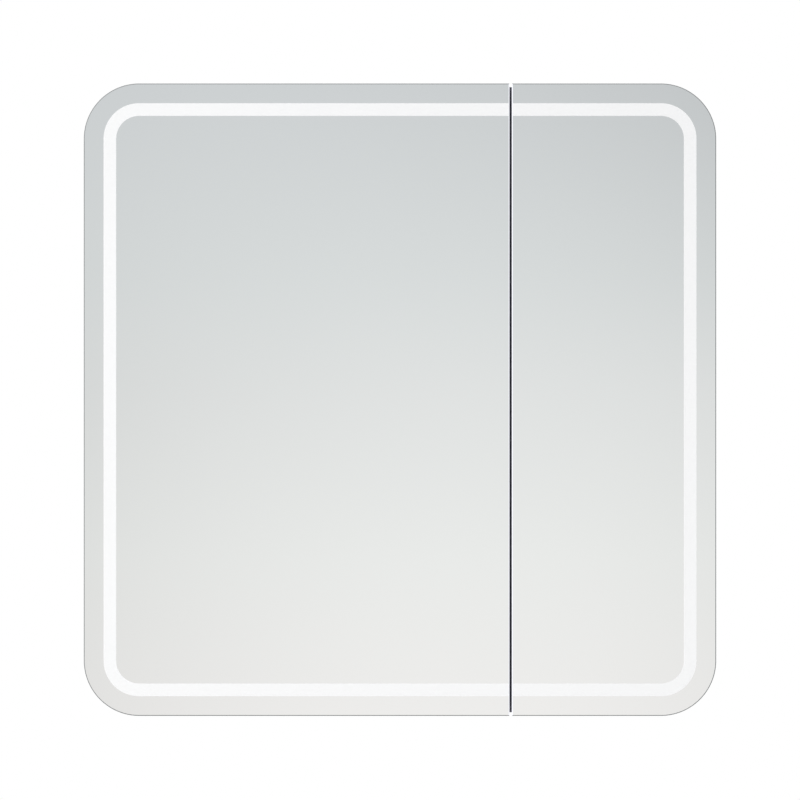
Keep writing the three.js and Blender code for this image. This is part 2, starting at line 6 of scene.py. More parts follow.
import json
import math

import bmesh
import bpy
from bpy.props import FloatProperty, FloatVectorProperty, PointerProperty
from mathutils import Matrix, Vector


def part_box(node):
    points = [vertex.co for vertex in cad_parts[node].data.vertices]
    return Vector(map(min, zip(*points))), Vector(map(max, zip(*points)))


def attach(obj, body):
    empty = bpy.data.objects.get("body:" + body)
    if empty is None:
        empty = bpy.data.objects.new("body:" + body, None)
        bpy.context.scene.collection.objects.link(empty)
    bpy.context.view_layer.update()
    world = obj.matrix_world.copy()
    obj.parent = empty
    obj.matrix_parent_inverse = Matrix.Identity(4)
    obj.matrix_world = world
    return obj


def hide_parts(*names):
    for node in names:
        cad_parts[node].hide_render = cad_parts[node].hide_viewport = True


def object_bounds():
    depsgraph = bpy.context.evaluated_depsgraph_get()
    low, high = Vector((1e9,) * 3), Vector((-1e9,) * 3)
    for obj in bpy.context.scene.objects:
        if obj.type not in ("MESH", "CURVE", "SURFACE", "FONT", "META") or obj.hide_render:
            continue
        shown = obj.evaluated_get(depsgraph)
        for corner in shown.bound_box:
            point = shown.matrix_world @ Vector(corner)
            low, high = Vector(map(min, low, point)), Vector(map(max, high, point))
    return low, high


bl_info = {
    "name": "Mirror Cabinet",
    "version": (1, 0, 0),
    "blender": (4, 5, 0),
    "location": "3D View > Sidebar > Cabinet",
    "description": "Finishes a two-door mirror cabinet with a lit frosted band",
    "category": "Object",
}

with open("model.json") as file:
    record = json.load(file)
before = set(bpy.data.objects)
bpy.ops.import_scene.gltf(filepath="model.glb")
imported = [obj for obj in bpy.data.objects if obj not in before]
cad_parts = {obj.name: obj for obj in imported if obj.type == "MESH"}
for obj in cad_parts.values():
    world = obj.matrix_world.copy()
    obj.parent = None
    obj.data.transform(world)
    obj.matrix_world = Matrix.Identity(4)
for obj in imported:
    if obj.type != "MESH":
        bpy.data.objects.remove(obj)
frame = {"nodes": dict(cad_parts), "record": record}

MM = 0.001
CAD_LOW, CAD_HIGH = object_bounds()
CENTRE = (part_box("left_mirror")[0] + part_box("right_mirror")[1]) / 2
NODES = sorted(frame["nodes"])
BODY_OF = {node: body for body, nodes in frame["record"]["behaviour"]["bodies"].items() for node in nodes}
DOORS = {"left": -1, "right": 1}

X = Vector((1, 0, 0))
Y = Vector((0, 1, 0))
Z = Vector((0, 0, 1))
QUARTER = math.pi / 2
SAME_PLACE = 1e-6  # points nearer than this are one
SQUARE = 0.99  # least part of a normal along an axis that its face looks straight along
SENSOR_WIDTH = 36  # in millimetres, as the lens is


# ---------------------------------------------------------------- sizes and colours a user would change


def length(name, description, default):
    """A length in metres, shown in the scene's units."""
    return FloatProperty(name=name, description=description, default=default, min=0, precision=5,
                         unit="LENGTH")


def tint(name, description, default):
    """A colour."""
    return FloatVectorProperty(name=name, description=description, default=default, size=3, subtype="COLOR",
                               min=0, max=1)


def amount(name, description, default, high=1.0):
    """A plain number."""
    return FloatProperty(name=name, description=description, default=default, min=0, max=high, precision=4)


class MirrorSettings(bpy.types.PropertyGroup):
    """The two mirrors and the frosted band."""

    corner_radius: length("Corner radius", "Radius of the mirrors' outer corners", 70 * MM)
    band_margin: length("Band margin", "Mirror's edge to the frosted band", 25 * MM)
    band_width: length("Band width", "Width of the frosted band", 16 * MM)
    arris: length("Arris", "Width of the ground edge round the mirror's face", 1.1 * MM)
    back_arris: length("Back arris", "Width of the ground edge round the mirror's back", 0.3 * MM)
    silver: tint("Silver", "Colour of the silvering seen through the glass", (0.885, 0.895, 0.892))
    band: tint("Band", "Colour of the frosted glass", (0.8, 0.8, 0.805))
    glow_and_painted_light: amount("Glow", "How brightly the light shows through the band", 0.15, 10)
    edge: tint("Edge", "Colour of the polished outer edge", (0.25, 0.26, 0.265))
    # The meeting edge's pale blue-grey colour and its emission make a painted highlight along each side of
    # the gap between the doors.
    meeting_edge: tint("Meeting edge", "Colour of the ground edge where the doors meet", (0.42, 0.42, 0.46))
    meeting_painted_highlight: amount("Meeting edge painted highlight", "How brightly the light shows in the meeting edge", 0.6, 10)


class BoardSettings(bpy.types.PropertyGroup):
    """White boards of the box and the door cores."""

    edge_radius: length("Edge radius", "Rounding of a board's covered edges", 0.8 * MM)
    cut_radius: length("Cut edge radius", "Rounding of a board with a bare sawn edge", 0.4 * MM)
    thin_radius: length("Thin edge radius", "Rounding of the hardboard's edges", 0.24 * MM)
    white: tint("White", "Colour of the melamine face", (0.82, 0.82, 0.808))
    chip: tint("Chipboard", "Colour of the bare chipboard", (0.52, 0.38, 0.22))
    fibre: tint("Hardboard", "Colour of the bare hardboard", (0.27, 0.16, 0.085))


class FittingSettings(bpy.types.PropertyGroup):
    """Hinges, screws, shelf pins and other fittings."""

    fine_edge: length("Fine edge", "Rounding of a pressed part's edges", 0.25 * MM)
    moulded_edge: length("Moulded edge", "Rounding of a moulding's edges", 0.3 * MM)
    soft_edge: length("Soft edge", "Rounding of the rocker's and the terminal block's edges", 0.35 * MM)
    shelf_arris: length("Shelf arris", "Width of the ground edges of a glass shelf", 0.7 * MM)
    screw_head: length("Screw head", "Radius of a fixing screw's head", 3.4 * MM)
    screw_recess: length("Screw recess", "Half width of the cross in a screw's head", 1.7 * MM)
    pin_radius: length("Shelf pin", "Radius of a shelf pin", 2.5 * MM)
    ear_length: length("Driver ear", "Length of a fixing ear of the light's driver", 8 * MM)
    ear_thickness: length("Driver ear thickness", "Thickness of a fixing ear", 2 * MM)
    way_pitch: length("Terminal pitch", "Distance from one way of the terminal block to the next", 6.5 * MM)
    clamp_radius: length("Clamp screw", "Radius of a terminal's clamp screw", 2.1 * MM)
    nickel: tint("Nickel", "Colour of the nickel plating", (0.62, 0.6, 0.57))
    zinc: tint("Zinc", "Colour of the zinc plating", (0.56, 0.59, 0.63))
    # Dark blue-grey: the rubber's own colour, tinted as painted shade; it also paints shade into screw
    # recesses and terminal slots.
    rubber: tint("Rubber", "Colour of the dark strip and the grommets", (0.14, 0.137, 0.185))
    plastic: tint("Plastic", "Colour of the white mouldings", (0.8, 0.8, 0.785))


class LightSettings(bpy.types.PropertyGroup):
    """The light tapes behind the frosted band."""

    tape_width: length("Tape width", "Width of the light tape", 8 * MM)
    tape_edge: length("Tape edge", "Rounding of the light tape's edges", 0.1 * MM)
    chip_pitch: length("Chip pitch", "Distance from one light chip to the next", 16.6 * MM)
    chip_size: length("Chip size", "Side of a light chip", 2.8 * MM)
    phosphor: tint("Phosphor", "Colour of a light chip's face", (0.92, 0.78, 0.32))


class StageSettings(bpy.types.PropertyGroup):
    """Camera, floor and studio."""

    lens: FloatProperty(name="Lens", description="Focal length of the long lens", default=200, unit="CAMERA")
    view_width: length("View width", "Width of the view at the mirrors' face", 1.0119)
    camera_drop: length("Camera drop", "How far the camera stands below the mirrors' middle", 0.4 * MM)
    floor_drop: length("Floor drop", "Cabinet's lowest point to the floor", 0.9)
    floor_radius: length("Floor radius", "Radius of the round floor", 8)
    floor: tint("Floor", "Colour of the floor", (0.74, 0.74, 0.735))
    card_distance: length("Card distance", "Mirrors' face to the card that they reflect", 8.85)
    sky: amount("Sky", "Brightness of the white surroundings", 0.7, 10)


# ---------------------------------------------------------------- node materials


def dimmed(color, factor):
    """A colour made darker, or lighter as far as white."""
    return [min(1, channel * factor) for channel in color]


class Finish:
    """A node material built round one Principled shader, with its patterns on Object coordinates."""

    def __init__(self, name, color, roughness, **sockets):
        self.material = bpy.data.materials.new(name)
        self.material.use_nodes = True
        self.tree = self.material.node_tree
        self.shader = self.tree.nodes["Principled BSDF"]
        self.shader.inputs["Base Color"].default_value = (*color, 1)
        self.shader.inputs["Roughness"].default_value = roughness
        for socket, value in sockets.items():
            self.shader.inputs[socket.replace("_", " ")].default_value = value
        self.material.diffuse_color = (*color, 1)
        self.places = self.tree.nodes.new("ShaderNodeTexCoord")

    def node(self, kind, **settings):
        """A new shader node."""
        made = self.tree.nodes.new("ShaderNode" + kind)
        for key, value in settings.items():
            setattr(made, key, value)
        return made

    def link(self, source, target):
        """A wire from one socket to another."""
        self.tree.links.new(source, target)

    def mapped(self, stretch=(1, 1, 1)):
        """Object coordinates, stretched."""
        mapping = self.node("Mapping")
        mapping.inputs["Scale"].default_value = stretch
        self.link(self.places.outputs["Object"], mapping.inputs["Vector"])
        return mapping.outputs["Vector"]

    def noise(self, scale, detail=3.0, roughness=0.5, stretch=(1, 1, 1)):
        """Cloudy noise."""
        made = self.node("TexNoise")
        made.inputs["Scale"].default_value = scale
        made.inputs["Detail"].default_value = detail
        made.inputs["Roughness"].default_value = roughness
        self.link(self.mapped(stretch), made.inputs["Vector"])
        return made.outputs["Fac"]

    def grains(self, scale):
        """Small cells, each of its own grey."""
        cells = self.node("TexVoronoi")
        cells.inputs["Scale"].default_value = scale
        self.link(self.mapped(), cells.inputs["Vector"])
        grey = self.node("RGBToBW")
        self.link(cells.outputs["Color"], grey.inputs[0])
        return grey.outputs[0]

    def ramp(self, source, stops, interpolation="LINEAR"):
        """A colour ramp with (place, colour or grey) stops."""
        made = self.node("ValToRGB")
        made.color_ramp.interpolation = interpolation
        elements = made.color_ramp.elements
        while len(elements) < len(stops):
            elements.new(0.5)
        for element, (place, value) in zip(elements, stops):
            element.position = place
            rgb = value if isinstance(value, (tuple, list)) else (value,) * 3
            element.color = (*rgb, 1)
        self.link(source, made.inputs["Fac"])
        return made.outputs["Color"]

    def feed(self, target, value):
        """Wires a socket, or sets the plain number or colour in it."""
        if isinstance(value, bpy.types.NodeSocket):
            self.link(value, target)
        else:
            target.default_value = value if isinstance(value, (int, float)) else (*value, 1)

    def mix(self, fac, first, second, blend="MIX"):
        """One colour mixed with another."""
        made = self.node("Mix", data_type="RGBA", blend_type=blend)
        for index, value in ((0, fac), (6, first), (7, second)):
            self.feed(made.inputs[index], value)
        return made.outputs[2]

    def mottled(self, pattern, color, factor):
        """A colour that a pattern takes down to a darker shade of itself."""
        return self.mix(pattern, dimmed(color, factor), color)

    def math(self, operation, first, second=0.0):
        """A sum of two sockets or numbers."""
        made = self.node("Math", operation=operation)
        self.feed(made.inputs[0], first)
        self.feed(made.inputs[1], second)
        return made.outputs[0]

    def part(self, axis, output="Object"):
        """One axis of the object's coordinates or of its surface's normal."""
        split = self.node("SeparateXYZ")
        self.link(self.places.outputs[output], split.inputs[0])
        return split.outputs[axis]

    def spread(self, source, low, high, least=0, most=1):
        """A value that goes from low to high, brought to go from least to most."""
        made = self.node("MapRange")
        for socket, value in zip(("From Min", "From Max", "To Min", "To Max"), (low, high, least, most)):
            made.inputs[socket].default_value = value
        self.link(source, made.inputs["Value"])
        return made.outputs[0]

    def color(self, source):
        """Wires the base colour."""
        self.link(source, self.shader.inputs["Base Color"])
        return self

    def rough(self, source, low, high):
        """Roughness that follows a pattern between two values."""
        self.link(self.spread(source, 0, 1, low, high), self.shader.inputs["Roughness"])
        return self

    def bump(self, source, depth, strength=1.0):
        """A relief whose full height is depth, in metres."""
        made = self.node("Bump")
        made.inputs["Strength"].default_value = strength
        made.inputs["Distance"].default_value = depth
        self.link(source, made.inputs["Height"])
        self.link(made.outputs[0], self.shader.inputs["Normal"])
        return self


def silver_finish(settings):
    """Silvering behind clear glass, with the faintest cloudiness."""
    made = Finish("silvered mirror", settings.silver, 0.02, Metallic=1.0, Coat_Weight=0.5, Coat_Roughness=0.0)
    made.color(made.mix(made.noise(3.2, 2), settings.silver, dimmed(settings.silver, 0.985)))
    return made.rough(made.noise(40, 2), 0.012, 0.03).material


def band_finish(settings):
    """Frosted glass lit from behind, its emission painted brighter towards the bottom and dimmer towards the
    top, as painted light.
    """
    made = Finish("frosted band", settings.band, 0.55, Emission_Strength=settings.glow_and_painted_light)
    grain = made.noise(2600, 2, 0.6)
    made.color(made.mottled(grain, settings.band, 0.97))
    # Painted light: the emission colour falls from bright at the bottom to dim at the top.
    light = [(0, (1, 1, 0.99)), (0.5, (0.87, 0.87, 0.86)), (1, (0.59, 0.59, 0.585))]
    made.link(made.ramp(made.spread(made.part("Z"), CAD_LOW.z, CAD_HIGH.z), light),
              made.shader.inputs["Emission Color"])
    return made.rough(grain, 0.45, 0.65).bump(grain, 0.02 * MM, 0.5).material


def edge_finish(name, color, roughness, glow_and_painted_light=0.0):
    """The edge of a sheet of glass, ground and polished; any emission given to it is a painted highlight."""
    made = Finish(name, color, roughness, Specular_IOR_Level=0.6, Emission_Strength=glow_and_painted_light,
                  Emission_Color=(0.95, 0.96, 1, 1))
    lines = made.noise(900, 2, 0.5, (0.05, 1, 0.05))
    made.color(made.mottled(lines, color, 0.85))
    return made.rough(lines, roughness * 0.7, roughness * 1.3).material


def grained_finish(name, color, roughness, scale, strength=0.4, **sockets):
    """One even colour with a very fine grain."""
    made = Finish(name, color, roughness, **sockets)
    return made.bump(made.noise(scale, 2), 0.02 * MM, strength).material


def melamine(made, settings):
    """The white of melamine, very slightly uneven."""
    return made.mottled(made.noise(9), settings.white, 0.975)


def melamine_finish(settings):
    """White melamine with a fine pearl texture."""
    made = Finish("white melamine", settings.white, 0.42)
    made.color(melamine(made, settings)).rough(made.noise(220), 0.36, 0.5)
    return made.bump(made.noise(1400, 3, 0.55), 0.06 * MM, 0.45).material


def chipboard(made, settings):
    """Colour and height of a sawn chipboard edge: flakes of two sizes, light and dark, with small gaps."""
    flakes = made.math("ADD", made.math("MULTIPLY", made.grains(520), 0.55),
                       made.math("MULTIPLY", made.grains(1300), 0.45))
    chip = settings.chip
    shades = made.ramp(flakes, [(0.2, dimmed(chip, 0.5)), (0.4, dimmed(chip, 0.88)), (0.6, chip[:]),
                                (0.85, dimmed(chip, 1.4))])
    grain = made.ramp(made.noise(2600, 4, 0.7), [(0.3, 0.15), (0.7, 0.7)])
    return made.mix(0.3, shades, grain, "SOFT_LIGHT"), flakes


def raw_edge_finish(name, settings, axis, both_ways):
    """Melamine with bare chipboard on the faces that look along one axis, forwards or both ways."""
    made = Finish(name, settings.white, 0.45)
    bare, height = chipboard(made, settings)
    facing = made.part(axis, "Normal")
    if both_ways:
        facing = made.math("ABSOLUTE", facing)
    mask = made.math("GREATER_THAN", facing, 0.9)
    made.color(made.mix(mask, melamine(made, settings), bare)).rough(mask, 0.42, 0.88)
    return made.bump(made.math("MULTIPLY", mask, height), 0.35 * MM, 0.6).material


def back_board_finish(settings):
    """Hardboard: white lacquer inside, brown pressed fibre with a wire-screen print behind."""
    made = Finish("back hardboard", settings.white, 0.5)
    fibre = made.noise(700, 5, 0.75)
    brown = made.ramp(fibre, [(0.3, dimmed(settings.fibre, 0.55)), (0.55, settings.fibre[:]),
                              (0.8, dimmed(settings.fibre, 1.7))])
    mask = made.math("GREATER_THAN", made.part("Y", "Normal"), 0.5)
    made.color(made.mix(mask, melamine(made, settings), brown)).rough(mask, 0.42, 0.85)
    wires = []
    for direction in "XZ":
        wave = made.node("TexWave", wave_type="BANDS", bands_direction=direction)
        wave.inputs["Scale"].default_value = 160
        wave.inputs["Distortion"].default_value = 0.4
        made.link(made.mapped(), wave.inputs["Vector"])
        wires.append(wave.outputs["Fac"])
    screen = made.math("ADD", made.math("MULTIPLY", *wires), fibre)
    return made.bump(made.math("MULTIPLY", mask, screen), 0.3 * MM, 0.7).material


def plated_finish(name, color, low, high, cloud_scale):
    """Plated pressed steel, faintly brushed, with a cloudy plating."""
    made = Finish(name, color, (low + high) / 2, Metallic=1.0)
    brushed = made.noise(500, 3, 0.6, (1, 1, 0.06))
    made.color(made.mottled(made.noise(cloud_scale), color, 0.84))
    return made.rough(brushed, low, high).bump(brushed, 0.02 * MM, 0.4).material


def spangled_finish(color):
    """Bright zinc with its fine pale spangle."""
    made = Finish("zinc plate", color, 0.4, Metallic=1.0)
    crystal = made.math("ADD", made.math("MULTIPLY", made.grains(650), 0.5),
                        made.math("MULTIPLY", made.noise(60), 0.5))
    made.color(made.ramp(crystal, [(0.2, dimmed(color, 0.88)), (0.8, dimmed(color, 1.06))]))
    return made.rough(crystal, 0.28, 0.42).bump(made.noise(900, 2), 0.02 * MM, 0.3).material


def moulded_finish(name, color, roughness):
    """A moulding with a fine spark-eroded texture."""
    made = Finish(name, color, roughness)
    grain = made.noise(2400, 3, 0.6)
    made.color(made.mottled(made.noise(30, 2), color, 0.97))
    return made.rough(grain, roughness * 0.85, roughness * 1.15).bump(grain, 0.04 * MM, 0.5).material


def shelf_glass_finish():
    """Clear float glass, with a faint smear of handling."""
    made = Finish("shelf glass", (0.94, 0.985, 0.965), 0.0, IOR=1.52, Transmission_Weight=1.0)
    return made.rough(made.noise(18, 4, 0.6), 0.0, 0.02).material


def shelf_edge_finish():
    """Polished edge of a glass shelf, green from the depth of glass behind it."""
    made = Finish("shelf edge", (0.4, 0.66, 0.57), 0.08, IOR=1.52, Transmission_Weight=0.45)
    made.color(made.mix(made.noise(30, 2, 0.5, (0.3, 1, 6)), (0.3, 0.56, 0.47), (0.55, 0.78, 0.7)))
    return made.rough(made.noise(300, 2, 0.5, (0.1, 0.1, 1)), 0.05, 0.14).material


def tape_finish():
    """White solder mask over copper tracks."""
    mask = (0.86, 0.86, 0.82)
    made = Finish("light tape", mask, 0.4)
    tracks = made.noise(160, 2, 0.4)
    return made.color(made.mix(tracks, mask, (0.8, 0.76, 0.66))).bump(tracks, 0.05 * MM, 0.5).material


FINISHES = {}


def make_finishes(scene):
    """Every finish of the cabinet, by its short name."""
    mirror = scene.cabinet_mirror
    board = scene.cabinet_board
    fitting = scene.cabinet_fitting
    FINISHES.update(
        silver=silver_finish(mirror),
        band=band_finish(mirror),
        edge=edge_finish("polished edge", mirror.edge, 0.22),
        # Painted highlight: the meeting edge is given its own emission.
        meeting=edge_finish("ground meeting edge with painted highlight", mirror.meeting_edge, 0.35, mirror.meeting_painted_highlight),
        backing=grained_finish("mirror backing", (0.16, 0.18, 0.19), 0.6, 1500, 1.0),
        white=melamine_finish(board),
        raw_rear=raw_edge_finish("melamine with bare rear edge", board, "Y", False),
        raw_top=raw_edge_finish("melamine with bare long edges", board, "Z", True),
        hardboard=back_board_finish(board),
        nickel=plated_finish("nickel plate", fitting.nickel, 0.2, 0.36, 25),
        screw=plated_finish("screw steel", (0.66, 0.65, 0.62), 0.22, 0.34, 120),
        zinc=spangled_finish(fitting.zinc),
        plastic=moulded_finish("white moulding", fitting.plastic, 0.38),
        # This dark finish is real rubber on the grommets and strip, and painted shade in screw recesses and
        # terminal slots.
        rubber=moulded_finish("dark rubber", fitting.rubber, 0.5),
        brass=plated_finish("brass", (0.72, 0.52, 0.24), 0.25, 0.4, 60),
        glass=shelf_glass_finish(),
        glass_edge=shelf_edge_finish(),
        bumper=grained_finish("clear bumper", (0.9, 0.93, 0.93), 0.22, 900, IOR=1.45,
                              Transmission_Weight=0.75),
        opal=grained_finish("opal acrylic", (0.93, 0.94, 0.95), 0.5, 1800, Subsurface_Weight=0.3,
                            Emission_Strength=0.35, Emission_Color=(1, 0.99, 0.97, 1)),
        tape=tape_finish(),
        phosphor=moulded_finish("phosphor", scene.cabinet_light.phosphor, 0.5),
    )


# ---------------------------------------------------------------- mesh work


def placed(low, high):
    """The matrix that turns a unit cube into the box between two corners."""
    low, high = Vector(low), Vector(high)
    return Matrix.Translation((low + high) / 2) @ Matrix.Diagonal((*(high - low), 1))


def round_edges(bm, edges, radius, segments=2):
    """Rounds edges, or chamfers them with one segment."""
    bmesh.ops.bevel(bm, geom=list(edges), offset=radius, offset_type="OFFSET", segments=segments,
                    profile=0.5, affect="EDGES", material=-1, clamp_overlap=True)


def sharp_edges(bm, angle=math.radians(30)):
    """Outward edges between faces that meet at more than an angle; inner corners stay as they are."""
    return [edge for edge in bm.edges
            if len(edge.link_faces) == 2 and edge.is_convex and edge.calc_face_angle(0) > angle]


def rim_at(bm, y):
    """The sharp edges that lie wholly at one depth."""
    return [edge for edge in bm.edges
            if all(abs(vert.co.y - y) < SAME_PLACE for vert in edge.verts)
            and edge.calc_face_angle(0) > math.radians(60)]


def verts_in(parts):
    """The vertices among an operator's results."""
    return [part for part in parts if isinstance(part, bmesh.types.BMVert)]


def block(low, high, radius=0.0, segments=2):
    """A box with rounded edges, as a bmesh."""
    bm = bmesh.new()
    bmesh.ops.create_cube(bm, size=1, matrix=placed(low, high))
    if radius:
        round_edges(bm, bm.edges, radius, segments)
    return bm


def slab(low, high, radius, segments):
    """An upright slab with its four corners rounded, as a bmesh."""
    bm = block(low, high)
    middle = (low + high) / 2
    for x_sign in (-1, 1):
        for z_sign in (-1, 1):
            corner = [edge for edge in bm.edges
                      if all((vert.co.x - middle.x) * x_sign > 0 and (vert.co.z - middle.z) * z_sign > 0
                             for vert in edge.verts)]
            round_edges(bm, corner, radius, segments)
    return bm


def turned(profile, centre, axis, steps=32):
    """A solid of revolution: (radius, distance along the axis) points spun about the axis, as a bmesh.

    The profile starts and ends on the axis, or closes on itself.
    """
    bm = bmesh.new()
    side = axis.orthogonal().normalized()
    verts = [bm.verts.new(Vector(centre) + side * radius + axis * along) for radius, along in profile]
    edges = [bm.edges.new(pair) for pair in zip(verts, verts[1:])]
    bmesh.ops.spin(bm, geom=verts + edges, cent=centre, axis=axis, angle=math.tau, steps=steps,
                   use_merge=True)
    bmesh.ops.remove_doubles(bm, verts=bm.verts, dist=SAME_PLACE)
    bmesh.ops.dissolve_degenerate(bm, dist=SAME_PLACE / 10, edges=bm.edges)
    return bm


def measured(node):
    """A node's low corner, high corner and middle."""
    low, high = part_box(node)
    return low, high, (low + high) / 2


def node_copy(node):
    """A CAD node's shape with its triangles merged into whole faces, as a bmesh."""
    bm = bmesh.new()
    bm.from_mesh(frame["nodes"][node].data)
    bmesh.ops.remove_doubles(bm, verts=bm.verts, dist=SAME_PLACE)
    bmesh.ops.dissolve_limit(bm, angle_limit=math.radians(0.5), verts=bm.verts, edges=bm.edges)
    bm.normal_update()
    return bm


def gathered(shapes):
    """Several bmeshes as one, with all but the first freed."""
    first, *others = shapes
    for other in others:
        mesh = bpy.data.meshes.new("joined")
        other.to_mesh(mesh)
        other.free()
        first.from_mesh(mesh)
        bpy.data.meshes.remove(mesh)
    return first


def paint(bm, rule):
    """Sets each face's material from a rule that takes the face."""
    for face in bm.faces:
        face.material_index = rule(face)


def piece(name, bm, body, finishes, stands_for=(), smooth=35):
    """Writes a bmesh as a finished piece that rides on a body."""
    if not FINISHES:
        make_finishes(bpy.context.scene)
    bmesh.ops.recalc_face_normals(bm, faces=bm.faces)
    mesh = bpy.data.meshes.new(name)
    bm.to_mesh(mesh)
    bm.free()
    mesh.shade_smooth()
    mesh.set_sharp_from_angle(angle=math.radians(smooth))
    for finish in finishes:
        mesh.materials.append(FINISHES[finish])
    made = bpy.data.objects.new(name, mesh)
    bpy.context.scene.collection.objects.link(made)
    shading = made.modifiers.new("even shading", "WEIGHTED_NORMAL")
    shading.keep_sharp = True
    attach(made, body)
    if stands_for:
        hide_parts(*stands_for)


def stand_in(node, bm, *finishes, name=None, smooth=35):
    """A finished piece that stands for a CAD node, on its body."""
    piece(name or node + "_finished", bm, BODY_OF[node], finishes, [node], smooth)


def refined(node, finish, radius, segments=2):
    """A CAD node's own shape with its edges rounded, standing for the node."""
    bm = node_copy(node)
    round_edges(bm, sharp_edges(bm), radius, segments)
    stand_in(node, bm, finish)


def loop_of(bm, points):
    """A closed loop of edges through some points."""
    verts = [bm.verts.new(point) for point in points]
    return [bm.edges.new((vert, verts[index - 1])) for index, vert in enumerate(verts)]


def carried(bm, loop, scale, drop):
    """Extrudes a loop of edges, scales the new one about the Z axis and lowers it."""
    grown = bmesh.ops.extrude_edge_only(bm, edges=loop)["geom"]
    verts = verts_in(grown)
    bmesh.ops.scale(bm, verts=verts, vec=(scale, scale, 1))
    bmesh.ops.translate(bm, verts=verts, vec=(0, 0, -drop))
    edges = set(grown) & set(bm.edges)
    return [edge for edge in edges if all(vert in verts for vert in edge.verts)]


def screw(centre, axis, settings, countersunk=True):
    """A cross-head screw with its recess sunk in its head, its face pointing along axis, as a bmesh."""
    reach = settings.screw_recess
    arm = reach * 0.3
    rise = 0.25 * MM if countersunk else 1.2 * MM
    crown, rim = settings.screw_head * 0.74, settings.screw_head * 0.95
    neck_scale, neck_length = 0.55, 1.6 * MM
    recess_taper, recess_depth = 0.7, 1.1 * MM
    steps = 24
    bm = bmesh.new()
    cross = []
    for quarter in range(4):
        turn = Matrix.Rotation(quarter * QUARTER, 3, "Z")
        cross += [turn @ Vector((x, y, rise)) for x, y in ((reach, -arm), (reach, arm), (arm, arm))]
    recess = loop_of(bm, cross)
    turns = [math.tau * step / steps for step in range(steps)]
    top = loop_of(bm, [(crown * math.cos(turn), crown * math.sin(turn), rise * 0.8) for turn in turns])
    bmesh.ops.bridge_loops(bm, edges=recess + top)
    shoulder = carried(bm, top, rim / crown, rise * 0.5)
    skirt = carried(bm, shoulder, settings.screw_head / rim, rise * 0.3)
    neck = carried(bm, skirt, neck_scale, neck_length)
    bmesh.ops.holes_fill(bm, edges=neck, sides=0)
    sunk = carried(bm, recess, recess_taper, recess_depth)
    # Painted shade: the recess's floor takes the second, dark finish.
    for face in bmesh.ops.holes_fill(bm, edges=sunk, sides=0)["faces"]:
        face.material_index = 1
    facing = Z.rotation_difference(axis).to_matrix().to_4x4()
    bmesh.ops.transform(bm, verts=bm.verts, matrix=Matrix.Translation(centre) @ facing)
    return bm


def screws(name, node, places, axis, settings, countersunk=True):
    """Cross-head screws at some places, as one piece on a node's body."""
    shapes = [screw(place, axis, settings, countersunk) for place in places]
    piece(name, gathered(shapes), BODY_OF[node], ["screw", "rubber"])


# ---------------------------------------------------------------- operators


def camera_reach(stage):
    """Camera to the mirrors' face, where the view is as wide as the setting says."""
    return stage.view_width * stage.lens / SENSOR_WIDTH


class PieceOperator:
    """What every operator of the cabinet shares."""

    bl_options = {"REGISTER", "UNDO"}


class CABINET_OT_camera(PieceOperator, bpy.types.Operator):
    """Aims a long lens straight at the mirrors"""

    bl_idname = "cabinet.camera"
    bl_label = "Camera"

    def execute(self, context):
        stage = context.scene.cabinet_stage
        data = bpy.data.cameras.new("camera")
        data.sensor_width = SENSOR_WIDTH
        data.lens = stage.lens
        data.clip_end = 100
        camera = bpy.data.objects.new("camera", data)
        context.scene.collection.objects.link(camera)
        camera.location = (CENTRE.x, CAD_LOW.y - camera_reach(stage), CENTRE.z - stage.camera_drop)
        camera.rotation_euler = (QUARTER, 0, 0)
        context.scene.camera = camera
        return {"FINISHED"}


class CABINET_OT_mirrors(PieceOperator, bpy.types.Operator):
    """Makes the two mirrors with their frosted band and ground edges"""

    bl_idname = "cabinet.mirrors"
    bl_label = "Mirrors"

    def execute(self, context):
        settings = context.scene.cabinet_mirror
        for side, sign in DOORS.items():
            self.make_pane(side, sign, settings)
        return {"FINISHED"}

    def make_pane(self, side, sign, settings):
        """One whole mirror with its band, cut off where the doors meet."""
        node = side + "_mirror"
        low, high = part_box(node)
        bm = slab(Vector((CAD_LOW.x, low.y, low.z)), Vector((CAD_HIGH.x, high.y, high.z)),
                  settings.corner_radius, 40)
        face = min(bm.faces, key=lambda one: one.calc_center_median().y)
        bmesh.ops.inset_region(bm, faces=[face], thickness=settings.band_margin, use_even_offset=True)
        band = bmesh.ops.inset_region(bm, faces=[face], thickness=settings.band_width, use_even_offset=True)
        for one in band["faces"]:
            one.material_index = 1
        meeting_x = low.x if sign > 0 else high.x
        cut = bmesh.ops.bisect_plane(bm, geom=[*bm.verts, *bm.edges, *bm.faces], dist=SAME_PLACE / 10,
                                     plane_co=(meeting_x, 0, 0), plane_no=(-sign, 0, 0), clear_outer=True)
        rim = [part for part in cut["geom_cut"] if isinstance(part, bmesh.types.BMEdge)]
        bmesh.ops.holes_fill(bm, edges=rim, sides=0)
        bmesh.ops.recalc_face_normals(bm, faces=bm.faces)
        round_edges(bm, rim_at(bm, low.y), settings.arris, 1)
        round_edges(bm, rim_at(bm, high.y), settings.back_arris, 1)

        def finish_of(one):
            if one.normal.y < -SQUARE:
                return one.material_index
            if one.normal.y > SQUARE:
                return 4
            return 3 if abs(one.calc_center_median().x - meeting_x) < 1.5 * settings.arris else 2

        bm.normal_update()
        paint(bm, finish_of)
        stand_in(node, bm, "silver", "band", "edge", "meeting", "backing", name=node + "_pane", smooth=20)


